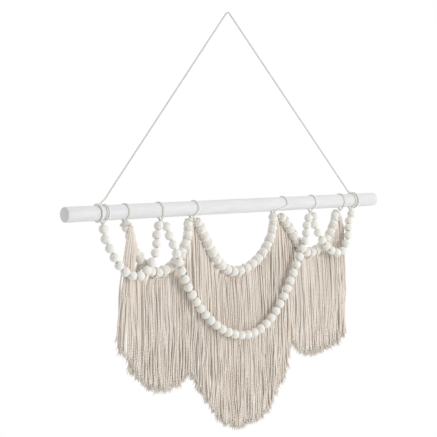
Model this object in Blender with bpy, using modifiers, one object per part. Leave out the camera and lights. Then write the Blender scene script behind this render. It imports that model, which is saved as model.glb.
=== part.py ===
"""Macrame wall hanging on its dowel rod.

Six strings of round wooden beads hang in swags from a painted rod, and a cut cotton fringe
hangs behind the three rear swags. A thin cord carries the rod from one wall hook.

World frame, in metres: +X runs along the rod, +Z is up, -Y faces the room and +Y the wall.
The origin is the point where the hanger cord bears on the hook.
"""

import math
import random
from collections import namedtuple

import bmesh
import bpy
from mathutils import Vector

# ---------------------------------------------------------------- driving dimensions
COLLECTION_NAME = "macrame_wall_hanging"
FIT_GAP = 0.0003                 # clearance between pieces that touch

ROD_LENGTH = 0.732
ROD_RADIUS = 0.0125
ROD_END_ROUND = 0.0012
ROD_END_STEPS = 2
ROD_SIDES = 32
SHARP_ANGLE = math.radians(30)
ROD_CENTRE = Vector((0.009, -0.010, -0.334))     # from the hook

CORD_RADIUS = 0.0015
CORD_SIDES_STEP = 2              # eight sides
HOOK_RADIUS = 0.005              # bend of the hanger cord over its hook
KNOT_RADIUS = 0.0033
KNOT_SEGMENTS = 10
KNOT_RINGS = 6

LOOP_RADIUS = 0.0143             # centreline of a cord wound once round the rod
LOOP_STEPS = 16
LOOP_SIDES = 6
LOOP_SIDES_STEP = 1              # six sides
STRING_SPREAD = 0.0017           # a string's end lies this far beside the bottom of its loop

BEAD_RADIUS = 0.008
BEAD_PITCH = 0.0161
BEAD_SHOULDER = 0.32             # of the pitch: where a bead's flanking rings stand
BEAD_SIDES_STEP = 1              # six sides
NECK_RADIUS = 0.0025             # string and hole rims between two beads
SWAG_STEPS = 160
FORWARD_DEPTH = 0.045            # a front swag has come fully forward this far below its top
SLACKEST = 0.05                  # chain scales tried for a swag, in half spans
TAUTEST = 50.0
SCALE_TRIES = 60

STRIP_WIDTH = 0.005              # knotted heading that the fringe hangs from, across the string
STRIP_DEPTH = 0.008              # the same heading, front to back
SLOPE_REACH = 0.002              # the heading's slope is taken over this far each way
STRAND_PITCH = 0.0066            # between strands of one row
STRAND_HALF_X = 0.0015
STRAND_HALF_Y = 0.0018
STRAND_TIP_SCALE = 0.8
ROOT_SPAN = 0.0045               # most of the heading that one strand grows from
ROOT_DROP = 0.007                # a strand has turned downwards this far below its root
ROOT_REACH = 0.004               # and stands at most this far outside the heading there
LEAN_RATIO = 3.0                 # it falls this many times as far as it leans aside
FORWARD_DROP = 0.035             # once below the beads it takes this much to come forward
ROW_ROOT_DEPTH = (0.25, 0.75)    # front row, back row, as shares of the heading's depth
ROW_HANG_Y = (0.0015, 0.0075)
ROW_CORNERS = ((3, 4), (2, 3))   # corners of the heading's section that bound each row's root
TIP_SPREAD = 0.007               # uneven cutting, up or down

# ---------------------------------------------------------------- tables, from the rod's middle
Loop = namedtuple("Loop", "top_x bottom_x")
LOOPS = (
    Loop(-0.289, -0.291),
    Loop(-0.246, -0.247),
    Loop(-0.175, -0.171),
    Loop(-0.097, -0.102),
    Loop(0.117, 0.092),
    Loop(0.193, 0.190),
    Loop(0.271, 0.273),
    Loop(0.303, 0.301),
)

# a tie's knot stands this far round from the top of the rod towards the wall
Tie = namedtuple("Tie", "name x knot_turn")
TIES = (
    Tie("hanger_tie_left", -0.302, math.radians(-25)),
    Tie("hanger_tie_right", 0.308, math.radians(35)),
)

# a swag's first and last bead stand at left_x and right_x, and its legs belly out to +X
Swag = namedtuple("Swag", "name left_loop right_loop left_x right_x top_z low_z "
                          "left_belly right_belly end_y hang_y")
LEFT_FRONT = Swag("beads_left_front", 1, 3, -0.291, -0.177, -0.026, -0.105,
                  -0.007, -0.004, -0.002, -0.0175)
LEFT_BACK = Swag("beads_left_back", 2, 4, -0.244, -0.111, -0.026, -0.104,
                 0.003, 0.008, -0.001, -0.001)
CENTRE_FRONT = Swag("beads_centre_front", 3, 6, -0.161, 0.181, -0.028, -0.226,
                    -0.0095, -0.011, -0.004, -0.0175)
CENTRE_BACK = Swag("beads_centre_back", 4, 5, -0.088, 0.093, -0.026, -0.115,
                   0.004, 0.009, -0.001, -0.001)
RIGHT_BACK = Swag("beads_right_back", 5, 7, 0.116, 0.257, -0.026, -0.093,
                  0.011, 0.005, -0.001, -0.001)
RIGHT_FRONT = Swag("beads_right_front", 6, 8, 0.198, 0.302, -0.026, -0.096,
                   -0.012, -0.011, -0.002, -0.0175)
SWAGS = (LEFT_FRONT, LEFT_BACK, CENTRE_FRONT, CENTRE_BACK, RIGHT_BACK, RIGHT_FRONT)

# strands hang from left_x to right_x, and the heading starts at left_z and ends at right_z
Fringe = namedtuple("Fringe", "name swag left_x right_x left_z right_z seed")
FRINGES = (
    Fringe("fringe_left", LEFT_BACK, -0.259, -0.1035, -0.050, -0.030, 11),
    Fringe("fringe_centre", CENTRE_BACK, -0.097, 0.1025, -0.030, -0.030, 12),
    Fringe("fringe_right", RIGHT_BACK, 0.1085, 0.289, -0.030, -0.036, 13),
)

# the cut line of the fringe: three rounded points with a notch between them
Tip = namedtuple("Tip", "x z")
TIPS = (
    Tip(-0.262, -0.223), Tip(-0.238, -0.261), Tip(-0.206, -0.295), Tip(-0.176, -0.306),
    Tip(-0.141, -0.309), Tip(-0.122, -0.299), Tip(-0.103, -0.281), Tip(-0.078, -0.319),
    Tip(-0.064, -0.337), Tip(-0.047, -0.359), Tip(-0.028, -0.383), Tip(0.004, -0.394),
    Tip(0.053, -0.390), Tip(0.073, -0.384), Tip(0.088, -0.372), Tip(0.097, -0.352),
    Tip(0.112, -0.334), Tip(0.128, -0.300), Tip(0.142, -0.256), Tip(0.169, -0.277),
    Tip(0.196, -0.281), Tip(0.237, -0.272), Tip(0.265, -0.266), Tip(0.290, -0.254),
)

# the hanger cord's lower left end bends aside into its tie; its other stretches are straight
Turn = namedtuple("Turn", "x y z")
LEFT_BEND = (
    Turn(-0.2989, -0.0060, 0.0168), Turn(-0.2942, -0.0048, 0.0192),
    Turn(-0.2880, -0.0030, 0.0229), Turn(-0.2796, -0.0008, 0.0306),
    Turn(-0.2694, 0.0006, 0.0418),
)
HANGER_STEPS = 9                 # points on each straight stretch
HOOK_STEPS = 7                   # points round the hook

# ---------------------------------------------------------------- materials
Finish = namedtuple("Finish", "colour roughness")
FINISHES = {
    "painted_wood": Finish((0.80, 0.80, 0.79), 0.55),
    "whitewashed_wood": Finish((0.82, 0.80, 0.75), 0.60),
    "cotton_cord": Finish((0.72, 0.66, 0.56), 0.90),
    "cotton_fringe": Finish((0.66, 0.56, 0.46), 0.95),
}


def make_material(name, finish):
    material = bpy.data.materials.new(name)
    material.use_nodes = True
    shader = material.node_tree.nodes["Principled BSDF"]
    shader.inputs["Base Color"].default_value = (*finish.colour, 1.0)
    shader.inputs["Roughness"].default_value = finish.roughness
    shader.inputs["Metallic"].default_value = 0.0
    return material


# ---------------------------------------------------------------- scene helpers
def clear_scene():
    for old in list(bpy.data.objects):
        bpy.data.objects.remove(old, do_unlink=True)


def make_collection(name):
    collection = bpy.data.collections.new(name)
    bpy.context.scene.collection.children.link(collection)
    return collection


def move_to(collection, thing):
    for holder in list(thing.users_collection):
        holder.objects.unlink(thing)
    collection.objects.link(thing)


def from_rod(x, y, z):
    """World point of a place given from the middle of the rod."""
    return ROD_CENTRE + Vector((x, y, z))


# ---------------------------------------------------------------- curves and measures
def running_lengths(points):
    lengths = [0.0]
    for before, after in zip(points, points[1:]):
        lengths.append(lengths[-1] + (after - before).length)
    return lengths


def interpolate(value, keys, values):
    """Straight interpolation of values over rising keys."""
    if value <= keys[0]:
        return values[0]
    for index in range(1, len(keys)):
        if value <= keys[index]:
            share = (value - keys[index - 1]) / (keys[index] - keys[index - 1])
            return values[index - 1] + (values[index] - values[index - 1]) * share
    return values[-1]


def ease(share):
    share = min(max(share, 0.0), 1.0)
    return share * share * (3.0 - 2.0 * share)


def tube(name, points, radii, sides_step, material, collection, cyclic=False):
    """A closed tube along points, radii[i] thick at each of them, with 4 + 2 * sides_step sides."""
    curve = bpy.data.curves.new(name, "CURVE")
    curve.dimensions = "3D"
    widest = max(radii)
    curve.bevel_depth = widest
    curve.bevel_resolution = sides_step
    curve.use_fill_caps = not cyclic
    spline = curve.splines.new("POLY")
    spline.points.add(len(points) - 1)
    for knot, point, radius in zip(spline.points, points, radii):
        knot.co = (*point, 1.0)
        knot.radius = radius / widest
    spline.use_cyclic_u = cyclic
    spline.use_smooth = True
    piece = bpy.data.objects.new(name, curve)
    piece.data.materials.append(material)
    collection.objects.link(piece)
    return piece


# ---------------------------------------------------------------- rod, hanger and ties
def build_rod(material, collection):
    bpy.ops.mesh.primitive_cylinder_add(
        vertices=ROD_SIDES, radius=ROD_RADIUS, depth=ROD_LENGTH,
        location=ROD_CENTRE, rotation=(0.0, math.pi / 2, 0.0))
    rod = bpy.context.object
    rod.name = "dowel"
    rod.data.materials.append(material)
    rounding = rod.modifiers.new("rounded ends", "BEVEL")
    rounding.width = ROD_END_ROUND
    rounding.segments = ROD_END_STEPS
    rod.data.shade_smooth()
    rod.data.set_sharp_from_angle(angle=SHARP_ANGLE)
    move_to(collection, rod)


def build_tie(tie, material, collection, cutters):
    """One turn of cord round the rod with its knot on top or just behind."""
    bpy.ops.mesh.primitive_torus_add(
        major_segments=LOOP_STEPS, minor_segments=LOOP_SIDES, major_radius=LOOP_RADIUS,
        minor_radius=CORD_RADIUS, location=from_rod(tie.x, 0.0, 0.0),
        rotation=(0.0, math.pi / 2, 0.0))
    ring = bpy.context.object
    ring.name = tie.name
    ring.data.materials.append(material)
    move_to(collection, ring)
    bpy.ops.mesh.primitive_uv_sphere_add(
        segments=KNOT_SEGMENTS, ring_count=KNOT_RINGS, radius=KNOT_RADIUS,
        location=knot_centre(tie))
    knot = bpy.context.object
    knot.name = tie.name + "_knot_guide"
    knot.data.materials.append(material)
    knot.hide_render = True
    knot.display_type = "WIRE"
    move_to(cutters, knot)
    joining = ring.modifiers.new("knot", "BOOLEAN")
    joining.operation = "UNION"
    joining.object = knot


def knot_centre(tie):
    reach = LOOP_RADIUS + CORD_RADIUS + FIT_GAP
    return from_rod(tie.x, reach * math.sin(tie.knot_turn), reach * math.cos(tie.knot_turn))


def hook_arc(left_slope, right_slope):
    """Centreline over the hook, from the left stretch's tangent to the right one's."""
    radius = HOOK_RADIUS + CORD_RADIUS
    centre = Vector((0.0, 0.0, -HOOK_RADIUS))
    points = []
    for step in range(HOOK_STEPS):
        angle = left_slope + (right_slope - left_slope) * step / (HOOK_STEPS - 1)
        points.append(centre + radius * Vector((math.sin(angle), 0.0, math.cos(angle))))
    return points


def hanger_route():
    """Centreline of the hanger cord from the left tie over the hook to the right tie."""
    left_foot = from_rod(*LEFT_BEND[-1])
    right_knot = knot_centre(TIES[1])
    left_slope = -math.atan2(-left_foot.z, -left_foot.x)
    right_slope = math.atan2(-right_knot.z, right_knot.x)
    over_hook = hook_arc(left_slope, right_slope)
    right_way = (over_hook[-1] - right_knot).normalized()
    right_foot = right_knot + right_way * (KNOT_RADIUS + FIT_GAP)
    route = [from_rod(*turn) for turn in LEFT_BEND]
    route += [left_foot.lerp(over_hook[0], step / HANGER_STEPS) for step in range(1, HANGER_STEPS)]
    route += over_hook
    route += [over_hook[-1].lerp(right_foot, step / HANGER_STEPS)
              for step in range(1, HANGER_STEPS + 1)]
    return route


def build_hanger(material, collection):
    route = hanger_route()
    tube("hanger_cord", route, [CORD_RADIUS] * len(route), CORD_SIDES_STEP, material, collection)


def build_loop(number, loop, material, collection):
    """One turn of cord round the rod, leaning from its top to its bottom."""
    points = []
    for step in range(LOOP_STEPS):
        angle = 2.0 * math.pi * step / LOOP_STEPS
        lean = (loop.bottom_x - loop.top_x) * (1.0 - math.cos(angle)) / 2.0
        points.append(from_rod(loop.top_x + lean, -LOOP_RADIUS * math.sin(angle),
                               LOOP_RADIUS * math.cos(angle)))
    tube(f"loop_{number}", points, [CORD_RADIUS] * LOOP_STEPS, LOOP_SIDES_STEP, material,
         collection, cyclic=True)


# ---------------------------------------------------------------- bead swags
def catenary_scale(half_span, sag):
    """Scale a of the hanging chain a*cosh(x/a) that drops by sag over half_span."""
    low, high = half_span * SLACKEST, half_span * TAUTEST
    for _ in range(SCALE_TRIES):
        middle = math.sqrt(low * high)
        if middle * (math.cosh(half_span / middle) - 1.0) > sag:
            low = middle
        else:
            high = middle
    return middle


def swag_path(swag):
    """Line through the bead centres, from the first bead to the last."""
    half_span = (swag.right_x - swag.left_x) / 2.0
    centre_x = (swag.right_x + swag.left_x) / 2.0
    sag = swag.top_z - swag.low_z
    scale = catenary_scale(half_span, sag)
    points = []
    for step in range(SWAG_STEPS + 1):
        across = half_span * (2.0 * step / SWAG_STEPS - 1.0)
        height = scale * (math.cosh(across / scale) - 1.0)
        share = 1.0 - height / sag
        belly = swag.left_belly if across < 0.0 else swag.right_belly
        x = centre_x + across + belly * 4.0 * share * (1.0 - share)
        depth = sag - height
        y = swag.end_y + (swag.hang_y - swag.end_y) * ease(depth / FORWARD_DEPTH)
        points.append(from_rod(x, y, swag.low_z + height))
    return points


def string_end(loop, side):
    """Where a swag's string meets the bottom of its loop, on the side towards the swag."""
    return from_rod(loop.bottom_x + side * STRING_SPREAD, 0.0,
                    -(LOOP_RADIUS + CORD_RADIUS + FIT_GAP))


def point_along(points, lengths, distance):
    return Vector([interpolate(distance, lengths, [point[axis] for point in points])
                   for axis in range(3)])


def build_swag(swag, material, collection):
    """A string of round beads as one lumpy solid: four rings to a bead."""
    beads = swag_path(swag)
    left_end = string_end(LOOPS[swag.left_loop - 1], 1)
    right_end = string_end(LOOPS[swag.right_loop - 1], -1)
    line = [left_end] + beads + [right_end]
    lengths = running_lengths(line)
    first, last = lengths[1], lengths[-2]
    gaps = round((last - first) / BEAD_PITCH)
    pitch = (last - first) / gaps
    shoulder = BEAD_SHOULDER * pitch
    shoulder_radius = math.sqrt(BEAD_RADIUS ** 2 - shoulder ** 2)
    stations = [(0.0, CORD_RADIUS)]
    for bead in range(gaps + 1):
        centre = first + bead * pitch
        rim = CORD_RADIUS if bead == 0 else NECK_RADIUS
        stations += [(centre - pitch / 2.0, rim), (centre - shoulder, shoulder_radius),
                     (centre, BEAD_RADIUS), (centre + shoulder, shoulder_radius)]
    stations += [(last + pitch / 2.0, CORD_RADIUS), (lengths[-1], CORD_RADIUS)]
    points = [point_along(line, lengths, distance) for distance, _ in stations]
    radii = [radius for _, radius in stations]
    tube(swag.name, points, radii, BEAD_SIDES_STEP, material, collection)


# ---------------------------------------------------------------- fringe
class Heading:
    """The knotted heading behind a rear swag: a narrow strip that the strands grow from."""

    def __init__(self, fringe):
        self.swag_line = swag_path(fringe.swag)
        middle = len(self.swag_line) // 2
        left_leg = [index for index in range(middle)
                    if self.swag_line[index].z < ROD_CENTRE.z + fringe.left_z]
        right_leg = [index for index in range(middle, len(self.swag_line))
                     if self.swag_line[index].z < ROD_CENTRE.z + fringe.right_z]
        start = min(left_leg, key=lambda index: self.swag_line[index].x)
        stop = max(right_leg, key=lambda index: self.swag_line[index].x)
        self.path = self.swag_line[start:stop + 1]
        self.lengths = running_lengths(self.path)
        self.front_y = ROD_CENTRE.y + fringe.swag.hang_y + BEAD_RADIUS + FIT_GAP
        self.hang_range = (ROD_CENTRE.x + fringe.left_x, ROD_CENTRE.x + fringe.right_x)

    def distance_for(self, hang_x):
        """Distance along the heading of the root of a strand that hangs at hang_x."""
        low, high = self.hang_range
        share = (hang_x - low) / (high - low)
        root_x = self.path[0].x + share * (self.path[-1].x - self.path[0].x)
        return interpolate(root_x, [point.x for point in self.path], self.lengths)

    def clear_height(self, hang_x):
        """Height below which nothing of the swag is in front of a strand that hangs at hang_x."""
        reach = BEAD_RADIUS + STRAND_HALF_X + FIT_GAP
        near = [point.z for point in self.swag_line if abs(point.x - hang_x) < reach]
        return min(near, default=self.path[0].z) - reach

    def frame_at(self, distance):
        """Point on the centreline and the direction away from the swag's inside."""
        low = max(distance - SLOPE_REACH, 0.0)
        high = min(distance + SLOPE_REACH, self.lengths[-1])
        before = point_along(self.path, self.lengths, low)
        after = point_along(self.path, self.lengths, high)
        along = (after - before).normalized()
        return (before + after) / 2.0, Vector((along.z, 0.0, -along.x))

    def section(self, distance):
        """Corner points of the strip: inner front and back, then outer back, middle and front."""
        centre, outward = self.frame_at(distance)
        inner = centre - outward * STRIP_WIDTH / 2.0
        outer = centre + outward * STRIP_WIDTH / 2.0
        front, back = self.front_y, self.front_y + STRIP_DEPTH
        middle = (front + back) / 2.0
        return [Vector((inner.x, front, inner.z)), Vector((inner.x, back, inner.z)),
                Vector((outer.x, back, outer.z)), Vector((outer.x, middle, outer.z)),
                Vector((outer.x, front, outer.z))]


def strand_rings(heading, hang_x, distance, row, tip_z):
    """Centres and scales of a strand's rings below its root, from the shoulder to the cut tip."""
    centre, outward = heading.frame_at(distance)
    root = centre + outward * STRIP_WIDTH / 2.0
    row_y = heading.front_y + STRIP_DEPTH * ROW_ROOT_DEPTH[row]
    lean = hang_x - root.x
    aside = max(-ROOT_REACH, min(ROOT_REACH, lean))
    shoulder_z = root.z - ROOT_DROP
    plumb_z = min(shoulder_z - LEAN_RATIO * abs(lean), heading.clear_height(hang_x))
    hang_y = ROD_CENTRE.y + ROW_HANG_Y[row]
    return [(Vector((root.x + aside, row_y, shoulder_z)), 1.0),
            (Vector((hang_x, row_y, plumb_z)), 1.0),
            (Vector((hang_x, hang_y, plumb_z - FORWARD_DROP)), 1.0),
            (Vector((hang_x, hang_y, tip_z)), STRAND_TIP_SCALE)]


def grow_strand(bm, face, corner_sides, rings):
    """Extrude one face of the heading through the strand's rings."""
    for centre, scale in rings:
        grown = bmesh.ops.extrude_discrete_faces(bm, faces=[face])["faces"][0]
        for vertex, (side_x, side_y) in zip(grown.verts, corner_sides):
            vertex.co = centre + Vector((side_x * STRAND_HALF_X * scale,
                                         side_y * STRAND_HALF_Y * scale, 0.0))
        face = grown


def build_fringe(fringe, material, collection):
    heading = Heading(fringe)
    noise = random.Random(fringe.seed)
    low, high = heading.hang_range
    count = round((high - low) / STRAND_PITCH * 2.0) + 1
    slot = (high - low) / (count - 1)

    # stations along the heading, and which spans between them carry a strand
    stations = [0.0]
    spans = []
    for index in range(count):
        hang_x = low + index * slot
        edge_left = heading.distance_for(max(hang_x - slot / 2.0, low))
        edge_right = heading.distance_for(min(hang_x + slot / 2.0, high))
        spare = (edge_right - edge_left - ROOT_SPAN) / 2.0
        if spare > ROOT_SPAN / 2.0:
            edge_left += spare
            edge_right -= spare
        if edge_left - stations[-1] > FIT_GAP:
            stations.append(edge_left)
        spans.append((len(stations) - 1, hang_x, index % 2))
        stations.append(edge_right)
    if heading.lengths[-1] - stations[-1] > FIT_GAP:
        stations.append(heading.lengths[-1])

    bm = bmesh.new()
    sections = [heading.section(distance) for distance in stations]
    end_face = bm.faces.new([bm.verts.new(point) for point in sections[0]])
    rings = [list(end_face.verts)]
    for section in sections[1:]:
        end_face = bmesh.ops.extrude_discrete_faces(bm, faces=[end_face])["faces"][0]
        for vertex, point in zip(end_face.verts, section):
            vertex.co = point
        rings.append(list(end_face.verts))
    bmesh.ops.holes_fill(bm, edges=[edge for edge in bm.edges if edge.is_boundary], sides=0)

    for span, hang_x, row in spans:
        before, after = rings[span], rings[span + 1]
        back_corner, front_corner = ROW_CORNERS[row]
        face = bm.faces.get((before[back_corner], before[front_corner],
                             after[front_corner], after[back_corner]))
        corner_sides = [(-1.0 if vertex in before else 1.0,
                         -1.0 if vertex in (before[front_corner], after[front_corner]) else 1.0)
                        for vertex in face.verts]
        cut = noise.uniform(-TIP_SPREAD, TIP_SPREAD)
        distance = (stations[span] + stations[span + 1]) / 2.0
        line = interpolate(hang_x - ROD_CENTRE.x, [tip.x for tip in TIPS], [tip.z for tip in TIPS])
        tip_z = ROD_CENTRE.z + line + cut
        grow_strand(bm, face, corner_sides, strand_rings(heading, hang_x, distance, row, tip_z))

    bmesh.ops.recalc_face_normals(bm, faces=bm.faces)
    mesh = bpy.data.meshes.new(fringe.name)
    bm.to_mesh(mesh)
    bm.free()
    mesh.materials.append(material)
    piece = bpy.data.objects.new(fringe.name, mesh)
    collection.objects.link(piece)


# ---------------------------------------------------------------- the whole hanging
def main():
    clear_scene()
    pieces = make_collection(COLLECTION_NAME)
    cutters = make_collection("cutters")
    materials = {name: make_material(name, finish) for name, finish in FINISHES.items()}
    build_rod(materials["painted_wood"], pieces)
    build_hanger(materials["cotton_cord"], pieces)
    for tie in TIES:
        build_tie(tie, materials["cotton_cord"], pieces, cutters)
    for number, loop in enumerate(LOOPS, start=1):
        build_loop(number, loop, materials["cotton_cord"], pieces)
    for swag in SWAGS:
        build_swag(swag, materials["whitewashed_wood"], pieces)
    for fringe in FRINGES:
        build_fringe(fringe, materials["cotton_fringe"], pieces)


main()
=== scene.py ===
"""Macrame wall hanging on its dowel rod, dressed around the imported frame.

Round turned beads hang in six swags from a painted rod, twisted cotton cord ties them on, and
a cut cotton fringe hangs from the three rear swags. One thin cord carries the rod from a hook.

World frame, in metres: +X runs along the rod, +Z is up, -Y faces the room and +Y the wall.
The origin is the point where the hanger cord bears on the hook.
"""

import math
import random
from collections import namedtuple

import bmesh
import bpy
import numpy as np
from bpy.props import FloatProperty, FloatVectorProperty, IntProperty, PointerProperty
from mathutils import Matrix, Vector


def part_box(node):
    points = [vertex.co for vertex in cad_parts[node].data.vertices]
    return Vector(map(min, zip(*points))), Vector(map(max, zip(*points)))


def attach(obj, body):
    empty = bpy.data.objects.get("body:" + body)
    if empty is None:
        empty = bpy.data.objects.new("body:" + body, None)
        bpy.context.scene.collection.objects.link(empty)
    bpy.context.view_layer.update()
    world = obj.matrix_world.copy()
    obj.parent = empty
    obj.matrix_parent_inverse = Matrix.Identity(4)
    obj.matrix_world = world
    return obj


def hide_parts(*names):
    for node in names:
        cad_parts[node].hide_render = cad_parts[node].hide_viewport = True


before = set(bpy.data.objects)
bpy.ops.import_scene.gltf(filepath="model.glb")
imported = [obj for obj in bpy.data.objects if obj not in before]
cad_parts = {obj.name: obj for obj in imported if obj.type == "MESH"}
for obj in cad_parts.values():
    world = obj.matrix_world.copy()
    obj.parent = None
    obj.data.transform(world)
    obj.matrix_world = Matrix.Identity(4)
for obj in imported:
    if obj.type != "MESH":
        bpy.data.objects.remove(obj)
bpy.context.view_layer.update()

bl_info = {
    "name": "Macrame wall hanging",
    "version": (1, 0, 0),
    "blender": (4, 5, 0),
    "location": "3D View > Sidebar > Hanging",
    "description": "Dresses a framed macrame wall hanging in wood, beads and cotton",
    "category": "Add Mesh",
}

MM = 0.001
TURN = 2.0 * math.pi


# ---- sizes taken from the frame
ROD_LOW, ROD_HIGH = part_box("dowel")
ROD_CENTRE = (ROD_LOW + ROD_HIGH) / 2.0
ROD_RADIUS = (ROD_HIGH.z - ROD_LOW.z) / 2.0
ROD_LENGTH = ROD_HIGH.x - ROD_LOW.x

# ---- how the hanging is laid out
LOOP_RADIUS = 14.3 * MM  # centreline of a cord wound once round the rod
STRING_SPREAD = 1.7 * MM  # a string's end lies this far beside the bottom of its loop
BEAD_RADIUS = 8.0 * MM
BEAD_PITCH = 16.1 * MM
SWAG_STEPS = 160
FORWARD_DEPTH = 45.0 * MM  # a front swag has come fully forward this far below its top
HOOK_RADIUS = 5.0 * MM
SLACKEST = 0.05  # chain scales tried for a swag, in half spans
TAUTEST = 50.0
SCALE_TRIES = 60

# windings that hold the strings, from the middle of the rod; each goes twice round, and its two
# passes lie this far apart
Loop = namedtuple("Loop", "top_x bottom_x apart")
LOOPS = (
    Loop(-0.289, -0.291, 0.0040),
    Loop(-0.246, -0.247, 0.0024),
    Loop(-0.175, -0.171, 0.0024),
    Loop(-0.097, -0.102, 0.0022),
    Loop(0.117, 0.092, 0.0022),
    Loop(0.193, 0.190, 0.0022),
    Loop(0.271, 0.273, 0.0022),
    Loop(0.303, 0.301, 0.0022),
)

# a tie's knot stands this far round from the top of the rod towards the wall
Tie = namedtuple("Tie", "name x knot_turn side")
TIES = (
    Tie("hanger_tie_left", -0.302, math.radians(-25), -1),
    Tie("hanger_tie_right", 0.308, math.radians(35), 1),
)

# a swag's first and last bead stand at left_x and right_x, and its legs belly out to +X
Swag = namedtuple("Swag", "name left_loop right_loop left_x right_x top_z low_z "
                          "left_belly right_belly end_y hang_y")
LEFT_FRONT = Swag("beads_left_front", 1, 3, -0.291, -0.177, -0.026, -0.105,
                  -0.007, -0.004, -0.002, -0.0175)
LEFT_BACK = Swag("beads_left_back", 2, 4, -0.244, -0.111, -0.026, -0.104,
                 0.003, 0.008, -0.001, -0.001)
CENTRE_FRONT = Swag("beads_centre_front", 3, 6, -0.161, 0.181, -0.028, -0.226,
                    -0.0095, -0.011, -0.004, -0.0175)
CENTRE_BACK = Swag("beads_centre_back", 4, 5, -0.088, 0.093, -0.026, -0.115,
                   0.004, 0.009, -0.001, -0.001)
RIGHT_BACK = Swag("beads_right_back", 5, 7, 0.116, 0.257, -0.026, -0.093,
                  0.011, 0.005, -0.001, -0.001)
RIGHT_FRONT = Swag("beads_right_front", 6, 8, 0.198, 0.302, -0.026, -0.096,
                   -0.012, -0.011, -0.002, -0.0175)
FRONT_SWAGS = (LEFT_FRONT, CENTRE_FRONT, RIGHT_FRONT)
BACK_SWAGS = (LEFT_BACK, CENTRE_BACK, RIGHT_BACK)

# a fringe hangs from left_x to right_x; so many cords are knotted beside its two loops and into
# each gap low in its swag; where its first gaps are bare, the tails from its left loop hang in
# front of the beads in one bunch
Fringe = namedtuple("Fringe", "name swag left_x right_x left_knots low_knots right_knots bare seed")
FRINGES = (
    Fringe("fringe_left", LEFT_BACK, -0.263, -0.1075, 10, 6, 3, 3, 11),
    Fringe("fringe_centre", CENTRE_BACK, -0.1045, 0.0985, 4, 6, 4, 0, 12),
    Fringe("fringe_right", RIGHT_BACK, 0.1020, 0.2845, 4, 6, 5, 0, 13),
)

# the cut line of the fringe: three rounded points with a notch between them
Tip = namedtuple("Tip", "x z")
TIPS = (
    Tip(-0.262, -0.215), Tip(-0.240, -0.253), Tip(-0.208, -0.290), Tip(-0.180, -0.302),
    Tip(-0.145, -0.306), Tip(-0.127, -0.299), Tip(-0.107, -0.281), Tip(-0.083, -0.317),
    Tip(-0.069, -0.336), Tip(-0.051, -0.358), Tip(-0.033, -0.381), Tip(0.000, -0.392),
    Tip(0.049, -0.387), Tip(0.068, -0.380), Tip(0.083, -0.366), Tip(0.092, -0.349),
    Tip(0.107, -0.332), Tip(0.123, -0.302), Tip(0.137, -0.258), Tip(0.165, -0.279),
    Tip(0.192, -0.285), Tip(0.232, -0.278), Tip(0.261, -0.268), Tip(0.285, -0.254),
)

# the hanger cord's lower left end bends aside into its tie; its other stretches are straight
Turn = namedtuple("Turn", "x y z")
LEFT_BEND = (
    Turn(-0.2989, -0.0060, 0.0168), Turn(-0.2942, -0.0048, 0.0192),
    Turn(-0.2880, -0.0030, 0.0229), Turn(-0.2796, -0.0008, 0.0306),
    Turn(-0.2694, 0.0006, 0.0418),
)
HANGER_STEPS = 9  # points on each straight stretch
HOOK_STEPS = 7  # points round the hook
HANGER_RADIUS = 1.5 * MM
HANGER_PAINTED_SHADE = 1.0  # painted shade: the hanger is painted darker than the loops, for how light falls on it
LOOP_PAINTED_SHADE = 0.0
LOOP_PLY = 0.33  # radius of a winding's cord, as a share of the hanger's diameter
LOOP_DROP = 4.5 * MM  # both passes of a winding meet this far below it
LOOP_FOOT = 1.6 * MM
# painted shade on the ties: only a little, so that they stay nearly as pale as the loops
TIE_PAINTED_SHADE = 0.1
KNOT_RADIUS = 3.3 * MM
FIT_GAP = 0.3 * MM  # left between cords that rest on each other


# ---- colours
def linear(hex_colour):
    """Linear colour of an sRGB hex string."""
    channels = [int(hex_colour[at:at + 2], 16) / 255.0 for at in (0, 2, 4)]
    return tuple(c / 12.92 if c <= 0.04045 else ((c + 0.055) / 1.055) ** 2.4 for c in channels)


# ---- settings
def colour_setting(name, description, hex_colour):
    return FloatVectorProperty(name=name, description=description, subtype="COLOR",
                               min=0.0, max=1.0, default=linear(hex_colour))


def length_setting(name, description, default, least=0.0):
    return FloatProperty(name=name, description=description, unit="LENGTH",
                         default=default, min=least)


class RodSettings(bpy.types.PropertyGroup):
    paint: colour_setting("Paint", "Colour of the matt white paint", "E6E6E7")
    sides: IntProperty(name="Sides", description="Facets round the rod", default=64, min=16)
    unevenness: length_setting(
        "Unevenness", "How far the sanded surface strays from true", 0.12 * MM)


class CordSettings(bpy.types.PropertyGroup):
    cotton: colour_setting("Cotton", "Colour of the thin cord", "F8F7F3")
    diameter: length_setting("Diameter", "Thickness of the thin cord", 3.0 * MM, 0.5 * MM)
    lay: length_setting("Lay", "Length in which the plies go once round", 9.0 * MM, 2.0 * MM)


class BeadSettings(bpy.types.PropertyGroup):
    wash: colour_setting("Wash", "Colour of the whitewash", "EEEDE8")
    wood: colour_setting("Wood", "Colour of the wood that shows through", "DDD4C4")
    diameter: length_setting("Diameter", "Bead size", 2.0 * BEAD_RADIUS, 4.0 * MM)
    hole: length_setting("Hole", "Width of the drilled hole", 4.0 * MM, 1.0 * MM)
    unevenness: FloatProperty(
        name="Unevenness", description="How much bead sizes differ", default=0.02, min=0.0, max=0.2)


class FringeSettings(bpy.types.PropertyGroup):
    # the pale colour is also laid on the knots and frayed ends as painted light
    pale: colour_setting("Pale cotton", "Colour of the cleanest cotton, in the knots", "FAF9F3")
    darker_cotton: colour_setting("Raw cotton", "Colour of the least bleached strands", "F0E5DA")
    diameter: length_setting("Diameter", "Thickness of a strand", 3.5 * MM, 1.0 * MM)
    lay: length_setting("Lay", "Length in which a strand's plies go once round", 24.0 * MM, 4.0 * MM)
    fray: length_setting("Fray", "Length of the loose fibres at a cut end", 8.0 * MM)
    fibres: IntProperty(name="Fibres", description="Loose fibres at each cut end", default=10, min=0)


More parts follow.
